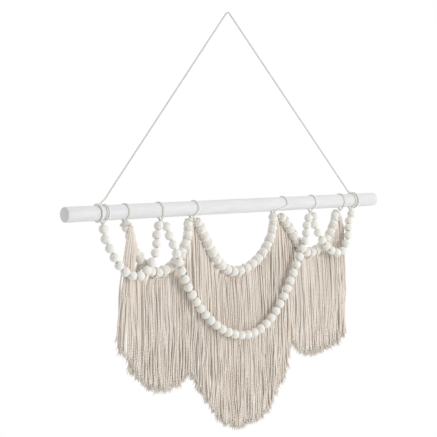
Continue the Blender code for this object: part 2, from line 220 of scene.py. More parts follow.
class StageSettings(bpy.types.PropertyGroup):
    floor: colour_setting("Floor", "Colour of the pale floor", "F7F7F6")
    floor_drop: length_setting("Floor drop", "Distance from the hook to the floor", 1.9, 0.9)
    key_power: FloatProperty(
        name="Key light", description="Power of the soft light in watts", default=46.0)
    dim_side: FloatProperty(
        name="Dim side", description="Brightness of the studio on its dim side",
        default=0.45, min=0.0, max=1.0)


# ---- small tools
MERGED = 0.001 * MM  # points closer than this are one
CURVE_STEPS = 12  # points tried between two corners of a smooth line
LINE_STEP = 1.0 * MM  # between the points of a thin cord
KNOT_STEP = 0.8 * MM  # and of a knot
SORTED_ALONG = Vector((1.0, 0.618, 0.327))  # a slant that no two points of a turned solid share


def new_piece(name, data):
    piece = bpy.data.objects.new(name, data)
    bpy.context.scene.collection.objects.link(piece)
    return piece


def finished(name, mesh, material, slot, *nodes):
    """A finished piece: it rides on the hanging's one body and stands for its own nodes."""
    mesh.materials.append(material)
    piece = new_piece(name, mesh)
    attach(piece, "root")
    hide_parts(*nodes)
    return piece


def as_mesh(bm, name):
    mesh = bpy.data.meshes.new(name)
    bm.to_mesh(mesh)
    bm.free()
    return mesh


def put_in_order(bm):
    """Sorts a solid's points, edges and faces, whose order after a merge changes from run to run."""
    bm.verts.sort(key=lambda point: point.co.dot(SORTED_ALONG))
    bm.edges.sort(key=lambda edge: (edge.verts[0].co + edge.verts[1].co).dot(SORTED_ALONG))
    bm.faces.sort(key=lambda face: face.calc_center_median().dot(SORTED_ALONG))


def spun_mesh(name, outline, closed, centre, axis, steps):
    """A turned solid, spun from the points of its outline."""
    bm = bmesh.new()
    points = [bm.verts.new(point) for point in outline]
    ahead = points[1:] + points[:1] if closed else points[1:]
    edges = [bm.edges.new(pair) for pair in zip(points, ahead)]
    bmesh.ops.spin(bm, geom=points + edges, cent=centre, axis=axis, angle=TURN, steps=steps,
                   use_merge=True)
    bmesh.ops.remove_doubles(bm, verts=bm.verts, dist=MERGED)
    put_in_order(bm)
    bmesh.ops.recalc_face_normals(bm, faces=bm.faces)
    return as_mesh(bm, name)


def smooth_shade(mesh, sharp_degrees):
    mesh.shade_smooth()
    mesh.set_sharp_from_angle(angle=math.radians(sharp_degrees))


def from_rod(x, y, z):
    """World point of a place given from the middle of the rod."""
    return ROD_CENTRE + Vector((x, y, z))


def ease(share):
    """Smooth way from 0 to 1, for a number or for an array of them."""
    share = np.clip(share, 0.0, 1.0)
    return share * share * (3.0 - 2.0 * share)


def running_lengths(points):
    steps = np.linalg.norm(np.diff(points, axis=0), axis=1)
    return np.concatenate([[0.0], np.cumsum(steps)])


def along(points, distances):
    """Points at these running distances on a polyline."""
    points = np.asarray(points, float)
    lengths = running_lengths(points)
    return np.stack([np.interp(distances, lengths, points[:, axis]) for axis in range(3)], 1)


def smooth_line(corners, step):
    """A Catmull-Rom curve through the corners, with points about a step apart."""
    corners = np.array([tuple(corner) for corner in corners], float)
    padded = np.vstack([2 * corners[0] - corners[1], corners, 2 * corners[-1] - corners[-2]])
    share = np.linspace(0.0, 1.0, CURVE_STEPS, endpoint=False)[:, None]
    points = []
    for p0, p1, p2, p3 in zip(padded, padded[1:], padded[2:], padded[3:]):
        points.append(0.5 * (2 * p1 + (p2 - p0) * share
                             + (2 * p0 - 5 * p1 + 4 * p2 - p3) * share ** 2
                             + (3 * p1 - p0 - 3 * p2 + p3) * share ** 3))
    points = np.vstack(points + [corners[-1:]])
    total = running_lengths(points)[-1]
    return along(points, np.linspace(0.0, total, max(int(round(total / step)) + 1, 2)))


# ---- cord making
# plies in a cord, how deep the groove between two of them is, and points round each ply
Section = namedtuple("Section", "plies groove points")
THIN_CORD = Section(2, 0.13, 6)
STRAND = Section(3, 0.16, 3)
FIBRE = Section(1, 0.0, 3)

# one length of cord: its centreline, its radius at each point, its lay, and its shade, which may
# differ from point to point
Run = namedtuple("Run", "points radii lay tone")


def section_curve(section):
    """Closed outline of a cord cut across, one unit in radius."""
    curve = bpy.data.curves.new("cord_section", "CURVE")
    curve.dimensions = "2D"
    spline = curve.splines.new("POLY")
    count = section.plies * section.points
    spline.points.add(count - 1)
    for index, point in enumerate(spline.points):
        angle = TURN * index / count
        crest = abs(math.cos(section.plies * angle / 2.0))
        reach = 1.0 - section.groove * (1.0 - crest)
        point.co = (reach * math.cos(angle), reach * math.sin(angle), 0.0, 1.0)
    spline.use_cyclic_u = True
    return curve, count


def lay_spline(curve, run):
    """Lays one run into the curve, twisted by its lay."""
    length = running_lengths(run.points)
    count = len(run.points)
    spline = curve.splines.new("POLY")
    spline.points.add(count - 1)
    spline.points.foreach_set("co", np.column_stack([run.points, np.ones(count)]).ravel())
    spline.points.foreach_set("radius", run.radii)
    spline.points.foreach_set("tilt", TURN * length / run.lay)
    spline.use_smooth = True


def skin_places(run, sides):
    """Where each point of a run's skin lies: across the cord, and along it."""
    around = TURN * np.arange(sides) / sides
    length = running_lengths(run.points)
    ring = np.stack([np.outer(run.radii, np.cos(around)), np.outer(run.radii, np.sin(around)),
                     np.repeat(length[:, None], sides, 1)], 2)
    return ring.reshape(-1, 3)


def swept_mesh(name, runs, section):
    """The skin of every run, open at its ends, and the points round it."""
    outline, sides = section_curve(section)
    outline_holder = new_piece("cord_section", outline)
    curve = bpy.data.curves.new(name, "CURVE")
    curve.dimensions = "3D"
    curve.bevel_mode = "OBJECT"
    curve.bevel_object = outline_holder
    for run in runs:
        lay_spline(curve, run)
    holder = new_piece(name, curve)
    shown = holder.evaluated_get(bpy.context.evaluated_depsgraph_get())
    mesh = bpy.data.meshes.new_from_object(shown)
    for made in (holder, outline_holder):
        data = made.data
        bpy.data.objects.remove(made, do_unlink=True)
        bpy.data.curves.remove(data)
    mesh.name = name
    return mesh, sides


def store(mesh, name, kind, field, values):
    """Stores a value at every point of a mesh."""
    stored = mesh.attributes.new(name, kind, "POINT")
    stored.data.foreach_set(field, np.concatenate(values).astype(np.float32).ravel())


def cord_mesh(name, runs, section):
    """Twisted cord along every run, as one closed mesh with its fibre lay and tone stored."""
    mesh, sides = swept_mesh(name, runs, section)
    tones = [np.repeat(np.broadcast_to(run.tone, len(run.points)), sides) for run in runs]
    store(mesh, "lay", "FLOAT_VECTOR", "vector", [skin_places(run, sides) for run in runs])
    store(mesh, "tone", "FLOAT", "value", tones)
    bm = bmesh.new()
    bm.from_mesh(mesh)
    bmesh.ops.holes_fill(bm, edges=[edge for edge in bm.edges if edge.is_boundary], sides=0)
    bmesh.ops.recalc_face_normals(bm, faces=bm.faces)
    bm.to_mesh(mesh)
    bm.free()
    return mesh


def even_run(points, radius, lay, tone=0.5):
    return Run(np.asarray(points, float), np.full(len(points), radius), lay, tone)


def thin_piece(name, runs, material, node):
    return finished(name, cord_mesh(name, runs, THIN_CORD), material, "cotton_cord", node)


# ---- materials
MIX_FROM, MIX_TO = 6, 7  # colour sockets of a mix node
MIXED = 2
PAINT_WORN = 0.93  # share of the paint's brightness along the grain
PAINT_THIN = 0.935  # and in the patches
WAVE_PERIOD = TURN / 20.0  # of a wave texture at scale 1
RING_GAP = 8.168 * MM  # between annual rings, which are bent a little
WOOD_SHOWS = 0.8
CORD_PAINTED_SHADE = 0.78  # brightness of the thin cord where its shade is painted
FIBRE_SLIMNESS = 25.0 / 3.0  # a fibre's length in its widths
SLUB_SHARE = 0.6  # how far slubs shift a cord's tone
# painted shade between the fibres: the cotton is multiplied by these shares where the fibre pattern
# is low
PAINTED_SHADE_BETWEEN_FIBRES = (0.94, 0.93, 0.91)


def add_node(tree, kind, settings=None, links=None):
    """Adds one node, sets its properties and sockets, and links its inputs."""
    node = tree.nodes.new(kind)
    for key, value in (settings or {}).items():
        if isinstance(key, str) and hasattr(node, key) and key not in node.inputs:
            setattr(node, key, value)
        else:
            node.inputs[key].default_value = value
    for key, source in (links or {}).items():
        tree.links.new(source, node.inputs[key])
    return node


def start_material(name):
    material = bpy.data.materials.new(name)
    material.use_nodes = True
    tree = material.node_tree
    return material, tree, tree.nodes["Principled BSDF"]


def noise_of_size(tree, source, sizes, detail, roughness=0.5):
    """Noise whose blots measure about these sizes along the three axes."""
    mapping = add_node(tree, "ShaderNodeMapping", {"Scale": [1 / size for size in sizes]},
                       {"Vector": source})
    noise = add_node(tree, "ShaderNodeTexNoise",
                     {"Scale": 1.0, "Detail": detail, "Roughness": roughness},
                     {"Vector": mapping.outputs["Vector"]})
    return noise.outputs["Fac"]


def tinted(tree, low, high, pattern, start, end):
    """A colour that goes from low to high while the pattern goes from start to end."""
    share = add_node(tree, "ShaderNodeMapRange", {"From Min": start, "From Max": end},
                     {"Value": pattern}).outputs["Result"]
    mix = add_node(tree, "ShaderNodeMix",
                   {"data_type": "RGBA", MIX_FROM: (*low, 1.0), MIX_TO: (*high, 1.0)},
                   {"Factor": share})
    return mix.outputs[MIXED]


def shaded(tree, tint, shade, pattern, start, end):
    """The tint, multiplied by a shade more and more while the pattern goes from start to end."""
    share = add_node(tree, "ShaderNodeMapRange", {"From Min": start, "From Max": end},
                     {"Value": pattern}).outputs["Result"]
    mix = add_node(tree, "ShaderNodeMix",
                   {"data_type": "RGBA", "blend_type": "MULTIPLY", MIX_TO: (*shade, 1.0)},
                   {"Factor": share, MIX_FROM: tint})
    return mix.outputs[MIXED]


def dress(tree, shader, colour, height, strength, depth, roughness, ior):
    """Gives a shader its colour, its relief and its finish."""
    bump = add_node(tree, "ShaderNodeBump", {"Strength": strength, "Distance": depth},
                    {"Height": height})
    tree.links.new(colour, shader.inputs["Base Color"])
    tree.links.new(bump.outputs["Normal"], shader.inputs["Normal"])
    shader.inputs["Roughness"].default_value = roughness
    shader.inputs["IOR"].default_value = ior


def matt_painted_wood(settings):
    """White emulsion brushed on a sanded pine dowel: matt, with the grain just raised."""
    material, tree, shader = start_material("matt_painted_wood")
    place = add_node(tree, "ShaderNodeTexCoord").outputs["Object"]
    # grain lines about 1.5 mm apart across the rod and 60 mm long
    grain = noise_of_size(tree, place, (60 * MM, 1.5 * MM, 1.5 * MM), detail=4.0, roughness=0.6)
    # the paint lies unevenly in patches a few centimetres long
    patches = noise_of_size(tree, place, (45 * MM, 9 * MM, 9 * MM), detail=2.0)
    darker_tint = tuple(c * PAINT_WORN for c in settings.paint)
    tint = tinted(tree, darker_tint, settings.paint, grain, 0.3, 0.6)
    shade = shaded(tree, tint, (PAINT_THIN,) * 3, patches, 0.75, 0.35)
    dress(tree, shader, shade, grain, strength=0.35, depth=0.15 * MM, roughness=0.62, ior=1.47)
    return material


def whitewashed_beech(settings):
    """Thin whitewash wiped over turned beech: chalky, the grain showing as faint warm bands."""
    material, tree, shader = start_material("whitewashed_beech")
    local = add_node(tree, "ShaderNodeAttribute", {"attribute_name": "grain"}).outputs["Vector"]
    rings = add_node(tree, "ShaderNodeTexWave",
                     {"wave_type": "RINGS", "rings_direction": "Y", "Scale": WAVE_PERIOD / RING_GAP,
                      "Distortion": 2.5, "Detail": 2.0, "Detail Scale": 1.5},
                     {"Vector": local}).outputs["Fac"]
    # short dark flecks of the wood's rays, 0.5 mm wide and 3 mm long
    flecks = noise_of_size(tree, local, (0.5 * MM, 3.0 * MM, 0.5 * MM), detail=3.0)
    in_ring = add_node(tree, "ShaderNodeMapRange", {"From Min": 0.45, "From Max": 1.0},
                       {"Value": rings}).outputs["Result"]
    in_fleck = add_node(tree, "ShaderNodeMapRange", {"From Min": 0.35, "From Max": 0.75},
                        {"Value": flecks}).outputs["Result"]
    shows = add_node(tree, "ShaderNodeMath", {"operation": "MULTIPLY"},
                     {0: in_ring, 1: in_fleck}).outputs[0]
    soft = add_node(tree, "ShaderNodeMath", {"operation": "MULTIPLY", 1: WOOD_SHOWS},
                    {0: shows}).outputs[0]
    tint = add_node(tree, "ShaderNodeMix",
                    {"data_type": "RGBA", MIX_FROM: (*settings.wash, 1.0),
                     MIX_TO: (*settings.wood, 1.0)}, {"Factor": soft}).outputs[MIXED]
    dress(tree, shader, tint, flecks, strength=0.4, depth=0.12 * MM, roughness=0.7, ior=1.45)
    return material


def cotton(name, pale, darker_cotton, tint_span, fibre_width, fibre_depth):
    """Spun cotton: dull and slightly fuzzy, fine fibres following the twist of the plies, with
    painted shade between the fibres.
    """
    material, tree, shader = start_material(name)
    lay = add_node(tree, "ShaderNodeAttribute", {"attribute_name": "lay"}).outputs["Vector"]
    tone = add_node(tree, "ShaderNodeAttribute", {"attribute_name": "tone"}).outputs["Fac"]
    place = add_node(tree, "ShaderNodeTexCoord").outputs["Object"]
    fibre_size = (fibre_width, fibre_width, fibre_width * FIBRE_SLIMNESS)
    fibres = noise_of_size(tree, lay, fibre_size, detail=2.0)
    # slubs: the spinning is darker and lighter every few centimetres
    slubs = noise_of_size(tree, place, (6 * MM, 6 * MM, 35 * MM), detail=2.0)
    wander = add_node(tree, "ShaderNodeMath", {"operation": "MULTIPLY_ADD", 1: SLUB_SHARE},
                      {0: slubs, 2: tone}).outputs[0]
    tint = tinted(tree, pale, darker_cotton, wander, *tint_span)
    # painted shade between the fibres, darkest where the fibre pattern is low
    painted_fibre_shade = shaded(tree, tint, PAINTED_SHADE_BETWEEN_FIBRES, fibres, 0.65, 0.35)
    dress(tree, shader, painted_fibre_shade, fibres, strength=0.3, depth=fibre_depth, roughness=0.95, ior=1.5)
    shader.inputs["Specular IOR Level"].default_value = 0.2
    shader.inputs["Sheen Weight"].default_value = 0.25
    shader.inputs["Sheen Roughness"].default_value = 0.5
    return material


def thin_cotton(settings):
    """The one material of every thin cord, made when the first of them needs it."""
    known = bpy.data.materials.get("plied_cotton_cord")
    if known:
        return known
    # painted shade: the darker colour is the cord's own colour darkened, laid on the hanger through
    # its tone
    darker_tint = tuple(c * CORD_PAINTED_SHADE for c in settings.cotton)
    return cotton("plied_cotton_cord", settings.cotton, darker_tint, tint_span=(0.3, 1.3),
                  fibre_width=0.35 * MM, fibre_depth=0.15 * MM)


# ---- rod
# its end in profile: distance from the very end, and share of the radius
ROD_END = ((0.0, 0.0), (0.0, 0.904), (0.35 * MM, 0.972), (1.2 * MM, 1.0))
ROD_RINGS = 60
ROD_SEED = 3


def build_rod(settings):
    """The dowel, turned from a line of points drawn along the rod and eased at its ends."""
    noise = random.Random(ROD_SEED)
    middle = [(ROD_LENGTH * share / ROD_RINGS, 1.0) for share in range(1, ROD_RINGS)]
    far_end = [(ROD_LENGTH - depth, share) for depth, share in reversed(ROD_END)]
    outline = []
    for depth, share in [*ROD_END, *middle, *far_end]:
        stray = noise.uniform(-1.0, 0.0) * settings.unevenness if share == 1.0 else 0.0
        height = ROD_CENTRE.z + ROD_RADIUS * share + stray
        outline.append((ROD_LOW.x + depth, ROD_CENTRE.y, height))
    mesh = spun_mesh("dowel_painted", outline, False, ROD_CENTRE, (1.0, 0.0, 0.0), settings.sides)
    smooth_shade(mesh, sharp_degrees=50)
    finished("dowel_painted", mesh, matt_painted_wood(settings), "painted_wood", "dowel")


# ---- hanger
def tie_knot_centre(tie):
    reach = LOOP_RADIUS + HANGER_RADIUS + FIT_GAP
    return from_rod(tie.x, reach * math.sin(tie.knot_turn), reach * math.cos(tie.knot_turn))


def hook_arc(left_slope, right_slope):
    """Centreline over the hook, from the left stretch's tangent to the right one's."""
    radius = HOOK_RADIUS + HANGER_RADIUS
    centre = Vector((0.0, 0.0, -HOOK_RADIUS))
    points = []
    for step in range(HOOK_STEPS):
        angle = left_slope + (right_slope - left_slope) * step / (HOOK_STEPS - 1)
        points.append(centre + radius * Vector((math.sin(angle), 0.0, math.cos(angle))))
    return points


def hanger_route():
    """Centreline of the hanger cord from the left tie over the hook to the right tie."""
    left_foot = from_rod(*LEFT_BEND[-1])
    right_knot = tie_knot_centre(TIES[1])
    left_slope = -math.atan2(-left_foot.z, -left_foot.x)
    right_slope = math.atan2(-right_knot.z, right_knot.x)
    over_hook = hook_arc(left_slope, right_slope)
    right_way = (over_hook[-1] - right_knot).normalized()
    right_foot = right_knot + right_way * (KNOT_RADIUS + FIT_GAP)
    route = [from_rod(*turn) for turn in LEFT_BEND]
    route += [left_foot.lerp(over_hook[0], step / HANGER_STEPS) for step in range(1, HANGER_STEPS)]
    route += over_hook
    route += [over_hook[-1].lerp(right_foot, step / HANGER_STEPS)
              for step in range(1, HANGER_STEPS + 1)]
    return route


def build_hanger(settings, material):
    route = hanger_route()
    line = smooth_line(route, LINE_STEP)
    run = even_run(line, settings.diameter / 2.0, settings.lay, HANGER_PAINTED_SHADE)
    piece = thin_piece("hanger_cord_twisted", [run], material, "hanger_cord")


# ---- windings and knots
WOUND_STEPS = 40
WOUND_REACH = math.radians(150)  # a pass goes this far round the rod, on both sides of its top
LEAN_FROM = math.radians(95)  # beyond this angle it leans over to its foot
LEAN_OVER = math.radians(60)
KNOT_STEPS = 14  # for each turn

# a knot's wraps: their radius, the length that they cover and how many times they go round
Wraps = namedtuple("Wraps", "radius height turns")
LOOP_KNOT = Wraps(1.5 * MM, 1.6 * MM, 1.4)
TIE_KNOT = Wraps(1.8 * MM, 4.0 * MM, 2.5)
LOOP_KNOT_AXIS = Vector((0.0, 0.2, -1.0)).normalized()

TIE_SLANT = 0.9 * MM  # a tie's ring shifts this far along the rod
TIE_KNOT_LEAN = 0.35  # and its knot slants towards the rod's end
TIE_KNOT_SHIFT = 0.8 * MM
TIE_TAIL_FROM = 2.0 * MM
# bends of the cut tail from the knot: along the rod towards its end, in depth and up
TIE_TAIL = ((2.6 * MM, -0.6 * MM, 1.0 * MM), (6.0 * MM, 0.8 * MM, 0.2 * MM))
TIE_THINNER = 0.85  # the cord is pulled thin in the knot and its tail


def round_rod(x, angle, radius=LOOP_RADIUS):
    """A point on a winding; the angle goes from the top over the front to the bottom."""
    return from_rod(x, -radius * math.sin(angle), radius * math.cos(angle))


def wound_pass(loop, side, radius):
    """Centreline of one pass: up the back, over the top, down the front, to the first bead."""
    foot = from_rod(loop.bottom_x + side * LOOP_FOOT / 2.0, 0.0, -LOOP_RADIUS - LOOP_DROP)
    points = [foot]
    for step in range(WOUND_STEPS + 1):
        angle = WOUND_REACH * (2.0 * step / WOUND_STEPS - 1.0)
        lean = ease((abs(angle) - LEAN_FROM) / LEAN_OVER)
        x = loop.top_x + (loop.bottom_x - loop.top_x) * lean
        points.append(round_rod(x + side * loop.apart / 2.0, angle, ROD_RADIUS + radius))
    return smooth_line(points + [foot], LINE_STEP)


def small_knot(centre, axis, wraps):
    """Centreline of cord wrapped closely round two others, along the axis."""
    side = axis.orthogonal().normalized()
    other = axis.cross(side)
    steps = int(wraps.turns * KNOT_STEPS)
    points = []
    for step in range(steps + 1):
        angle = TURN * wraps.turns * step / steps
        rise = wraps.height * (step / steps - 0.5)
        points.append(centre + axis * rise
                      + wraps.radius * (math.cos(angle) * side + math.sin(angle) * other))
    return smooth_line(points, KNOT_STEP)


def build_loops(settings, material):
    """Eight windings that tie the bead strings to the rod, each with a small knot under it."""
    radius = settings.diameter * LOOP_PLY
    for number, loop in enumerate(LOOPS, start=1):
        under = from_rod(loop.bottom_x, 0.0, -LOOP_RADIUS - LOOP_DROP)
        lines = [wound_pass(loop, side, radius) for side in (-1, 1)]
        lines.append(small_knot(under, LOOP_KNOT_AXIS, LOOP_KNOT))
        runs = [even_run(line, radius, settings.lay, LOOP_PAINTED_SHADE) for line in lines]
        thin_piece(f"loop_{number}_winding", runs, material, f"loop_{number}")


def build_ties(settings, material):
    """The hanger cord's ends: once round the rod, knotted on top, with a short cut tail."""
    radius = settings.diameter / 2.0
    for tie in TIES:
        start = -tie.knot_turn
        ring = [round_rod(tie.x + TIE_SLANT * math.sin((angle - start) / 2.0), angle)
                for angle in np.linspace(start, start + TURN, WOUND_STEPS)]
        top = tie_knot_centre(tie)
        way = Vector((0.0, -math.cos(start), -math.sin(start)))
        axis = (way + Vector((tie.side * TIE_KNOT_LEAN, 0.0, 0.0))).normalized()
        knot = small_knot(top + way * TIE_KNOT_SHIFT, axis, TIE_KNOT)
        tail = [top + way * TIE_TAIL_FROM]
        tail += [top + Vector((tie.side * x, y, z)) for x, y, z in TIE_TAIL]
        runs = [even_run(smooth_line(ring, LINE_STEP), radius, settings.lay, TIE_PAINTED_SHADE)]
        runs += [even_run(line, radius * TIE_THINNER, settings.lay, TIE_PAINTED_SHADE)
                 for line in (knot, smooth_line(tail, KNOT_STEP))]
        thin_piece(f"{tie.name}_knotted", runs, material, tie.name)


# ---- swags
BEAD_SEED = 21
BELLY_SHAPE = 4.0  # makes a belly full half way down a leg
BEAD_STEPS = 11  # from hole to hole along a bead's outline
BEAD_SIDES = 22
HOLE_ROUNDING = 0.35 * MM
HOLE_LIP = 0.45 * MM
GRAIN_SPREAD = 40.0 * MM  # each bead is cut from another place in the wood
BEAD_TILT = 0.09
BEAD_SIZES = (-1.0, 0.4)  # smaller or larger, in shares of the unevenness
FLATTEST = 0.965  # length of the shortest bead, as a share of its width
THREAD_PLY = 0.4  # radius of the cord in the beads, as a share of the hanger's diameter
THREAD_STEP = 1.6 * MM


def catenary_scale(half_span, sag):
    """Scale a of the hanging chain a*cosh(x/a) that drops by sag over half_span."""
    low, high = half_span * SLACKEST, half_span * TAUTEST
    for _ in range(SCALE_TRIES):
        middle = math.sqrt(low * high)
        if middle * (math.cosh(half_span / middle) - 1.0) > sag:
            low = middle
        else:
            high = middle
    return middle


def swag_path(swag):
    """Line through the bead centres, from the first bead to the last."""
    half_span = (swag.right_x - swag.left_x) / 2.0
    centre_x = (swag.right_x + swag.left_x) / 2.0
    sag = swag.top_z - swag.low_z
    scale = catenary_scale(half_span, sag)
    points = []
    for step in range(SWAG_STEPS + 1):
        across = half_span * (2.0 * step / SWAG_STEPS - 1.0)
        height = scale * (math.cosh(across / scale) - 1.0)
        share = 1.0 - height / sag
        belly = swag.left_belly if across < 0.0 else swag.right_belly
        x = centre_x + across + belly * BELLY_SHAPE * share * (1.0 - share)
        depth = sag - height
        y = swag.end_y + (swag.hang_y - swag.end_y) * ease(depth / FORWARD_DEPTH)
        points.append(from_rod(x, y, swag.low_z + height))
    return np.array(points)


def string_end(number, side):
    """Where a string meets the bottom of its loop, on the side towards the swag."""
    return from_rod(LOOPS[number - 1].bottom_x + side * STRING_SPREAD, 0.0,
                    -(LOOP_RADIUS + HANGER_RADIUS + FIT_GAP))


class Garland:
    """One string of beads: its line from loop to loop, and its bead centres and directions."""

    def __init__(self, swag):
        self.line = np.vstack([tuple(string_end(swag.left_loop, 1)), swag_path(swag),
                               tuple(string_end(swag.right_loop, -1))])
        self.lengths = running_lengths(self.line)
        first, last = self.lengths[1], self.lengths[-2]
        gaps = round((last - first) / BEAD_PITCH)
        self.pitch = (last - first) / gaps
        self.places = first + self.pitch * np.arange(gaps + 1)
        self.centres = along(self.line, self.places)

    def direction(self, distance):
        ends = along(self.line, [distance - LINE_STEP, distance + LINE_STEP])
        return Vector(ends[1] - ends[0]).normalized()

    def gap_places(self):
        """Running distances of the gaps that knots sit in, from loop to loop."""
        between = (self.places[1:] + self.places[:-1]) / 2.0
        half = self.pitch / 2.0
        return np.concatenate([[self.places[0] - half], between, [self.places[-1] + half]])


def bead_template(settings):
    """A turned bead with a drilled hole, spun from the outline of one side."""
    radius, hole = settings.diameter / 2.0, settings.hole / 2.0
    start = math.asin((hole + HOLE_ROUNDING) / radius)
    outline = []
    for step in range(BEAD_STEPS + 1):
        angle = start + (math.pi - 2.0 * start) * step / BEAD_STEPS
        outline.append((radius * math.sin(angle), 0.0, radius * math.cos(angle)))
    lip = radius * math.cos(start) - HOLE_LIP
    outline += [(hole, 0.0, -lip), (hole, 0.0, lip)]
    return spun_mesh("bead_template", outline, True, (0.0, 0.0, 0.0), (0.0, 0.0, 1.0), BEAD_SIDES)


def random_vector(noise, most):
    return Vector([noise.uniform(-most, most) for _ in range(3)])


def add_bead(bm, grain, template, noise):
    """Adds one bead, cut from its own place in the wood."""
    known = len(bm.verts)
    bm.from_mesh(template)
    bm.verts.ensure_lookup_table()
    bead = bm.verts[known:]
    offset = random_vector(noise, 1.0) * GRAIN_SPREAD
    turn = Matrix.Rotation(noise.uniform(0.0, TURN), 4, "X")
    for vertex in bead:
        vertex[grain] = turn @ vertex.co + offset
    return bead


def bead_place(way, centre, unevenness, noise):
    """Matrix that sets a bead on its string, a little askew and of a size of its own."""
    aim = (way + random_vector(noise, BEAD_TILT)).normalized().to_track_quat("Z", "Y")
    roll = Matrix.Rotation(noise.uniform(0.0, TURN), 4, "Z")
    size = 1.0 + noise.uniform(*BEAD_SIZES) * unevenness
    squash = Matrix.Diagonal((size, size, size * noise.uniform(FLATTEST, 1.0), 1.0))
    return Matrix.Translation(centre) @ aim.to_matrix().to_4x4() @ roll @ squash


def build_garlands(settings, cord, wood, thread):
    """Six strings of beads, each one mesh of beads and one thin cord through them."""
    template = bead_template(settings)
    noise = random.Random(BEAD_SEED)
    for swag in FRONT_SWAGS + BACK_SWAGS:
        garland = Garland(swag)
        bm = bmesh.new()
        grain = bm.verts.layers.float_vector.new("grain")
        for place, centre in zip(garland.places, garland.centres):
            bead = add_bead(bm, grain, template, noise)
            matrix = bead_place(garland.direction(place), centre, settings.unevenness, noise)
            bmesh.ops.transform(bm, verts=bead, matrix=matrix)
        name = f"{swag.name}_turned"
        mesh = as_mesh(bm, name)
        smooth_shade(mesh, sharp_degrees=60)
        finished(name, mesh, wood, "whitewashed_wood", swag.name)

        total = garland.lengths[-1]
        line = along(garland.line, np.linspace(0.0, total, int(total / THREAD_STEP)))
        run = even_run(line, cord.diameter * THREAD_PLY, cord.lay)
        thin_piece(swag.name.replace("beads", "string"), [run], thread, swag.name)
    bpy.data.meshes.remove(template)


# ---- fringe
LEVEL = 4.6 * MM  # strands are laid down in steps of this height
LEG_SLOPES = (0.6, 2.2)  # a swag turns into its leg from the first of these slopes to the second
FEWEST_KNOTS = 2  # cords in a gap where the string is steepest
SQUEEZED = 0.65  # a strand is pressed to this share between two beads
SWELL_LENGTH = 10.0 * MM  # and is full again this far below
KNOT_ROW = 3  # cords side by side in a gap; the next ones lie over them
WRAP_SPACING = 1.3 * MM  # a cord goes twice round the string, this far apart
WRAP_STEPS = 18
WRAP_CROSSING = (0.8, 0.4)  # it crosses to its second turn from here, and takes this long, in turns
NARROWEST_WRAP = 2.4 * MM
KNOT_PAINTED_LIGHT = 1.5  # painted light: how much paler a knot's tone is painted than its tails', to lift its shade between the beads
END_PAINTED_LIGHT = 0.8  # and a frayed end's: painted light that lifts the shade of its thin fibres
TIER_RISE = 0.8 * MM
STEEPEST = 0.45  # most a strand moves aside for each unit that it falls
LEAN_FALL = 85.0 * MM  # a strand has moved aside to its place this far below its knot
QUICK = 0.4  # or at this slope when its place is nearer than QUICK_REACH
QUICK_REACH = 14.0 * MM
BUNCH_LENGTH = 130.0 * MM  # the bunched strands stay packed, and have parted this far down
DEPTH_PULL = 0.07  # share of the way to its own depth that a strand covers in one level
EVEN_SHARE = 0.8  # how evenly the strands share the width of their fringe
UNEVEN_HANG = 0.9 * MM
LAYER_Y = -3.0 * MM  # the fringe hangs in two layers, the front one this far before the string
LAYER_STEP = 2.8 * MM  # and the other this far behind it
LAYER_SPREAD = 0.5 * MM
BUNCH_Y = -5.0 * MM  # the bunched strands hang this far before the string
CROWDING = 0.8  # strands part until this share of their widths fits between
PARTINGS = 4  # times that strands are parted at one level
PART_SHARE = 0.2  # of an overlap that one parting takes away
PART_MOST = 0.4 * MM
TINY = 1e-9
BEAD_CLEAR = 0.9  # share of a strand's radius that stays outside a bead
TIP_SPREAD = 5.0 * MM  # uneven cutting, up or down
FRAY_SHARE = 0.75  # of the loose fibres' length, by which a strand ends early
FLARE = 0.018  # a fringe widens by this share
FLARE_FALL = 250.0 * MM  # in this fall
STRAND_SIZES = (0.9, 1.08)
LAY_SIZES = (0.85, 1.2)
CUT_TAPER = 6.0 * MM  # a strand narrows to half over this length at its cut

# directions, in x and y, in which tails stay clear of the beads that they pass
REAR_AWAY = (0.0, 1.0)
LEG_AWAY = (0.87, 0.49)  # on a right leg, and mirrored on a left one
BUNCH_AWAY = (0.55, -0.84)

# waves in a strand: length along it, sway sideways and sway in depth
Wave = namedtuple("Wave", "length sway depth")
WAVES = (Wave(210 * MM, 2.2 * MM, 0.6 * MM), Wave(83 * MM, 1.0 * MM, 0.4 * MM),
         Wave(37 * MM, 0.22 * MM, 0.15 * MM), Wave(19 * MM, 0.1 * MM, 0.1 * MM))
WAVE_RISE = 160.0 * MM  # the waves reach their full sway this far below the knot
WAVE_SIZES = (0.75, 1.3)
WAVE_SEED = 5
DEPTH_WAVE = 1.1  # the waves in depth come this much closer together
CLUMP = 4  # neighbours in a layer that sway nearly together
CLUMP_LOOSE = 0.5  # how far their waves are apart, in radians

# loose fibres: hidden length, share of the fray, how far they fan out and where they start
FIBRE_HIDDEN = 5.0 * MM
FIBRE_SIZES = (0.6, 1.2)
FIBRE_FAN = (0.05, 0.42)
FIBRE_RIM = 0.45
FAN_POWER = 1.4
FIBRE_CURL = 1.2 * MM
CURL_ANGLE = 3.0
FIBRE_RADIUS = 0.48 * MM
# share of a fibre's length, and its thickness there
FIBRE_TAPER = ((0.0, 1.0), (0.3, 1.0), (0.6, 0.85), (0.85, 0.6), (1.0, 0.25))
UNTWISTED = 1.0  # a lay so long that it doesn't show

# a cord tied into a gap: its two tails, the string's direction there, and how far out it lies
Tied = namedtuple("Tied", "fringe tails way away reaches")


def away_in_gap(way):
    """Where tails hang clear of the beads: behind them low in a swag, beside them on its legs."""
    low_slope, high_slope = LEG_SLOPES
    on_leg = ease((abs(way.z / way.x) - low_slope) / (high_slope - low_slope))
    under_leg = Vector((math.copysign(LEG_AWAY[0], way.z * way.x), LEG_AWAY[1]))
    return tuple(Vector(REAR_AWAY).lerp(under_leg, on_leg).normalized())


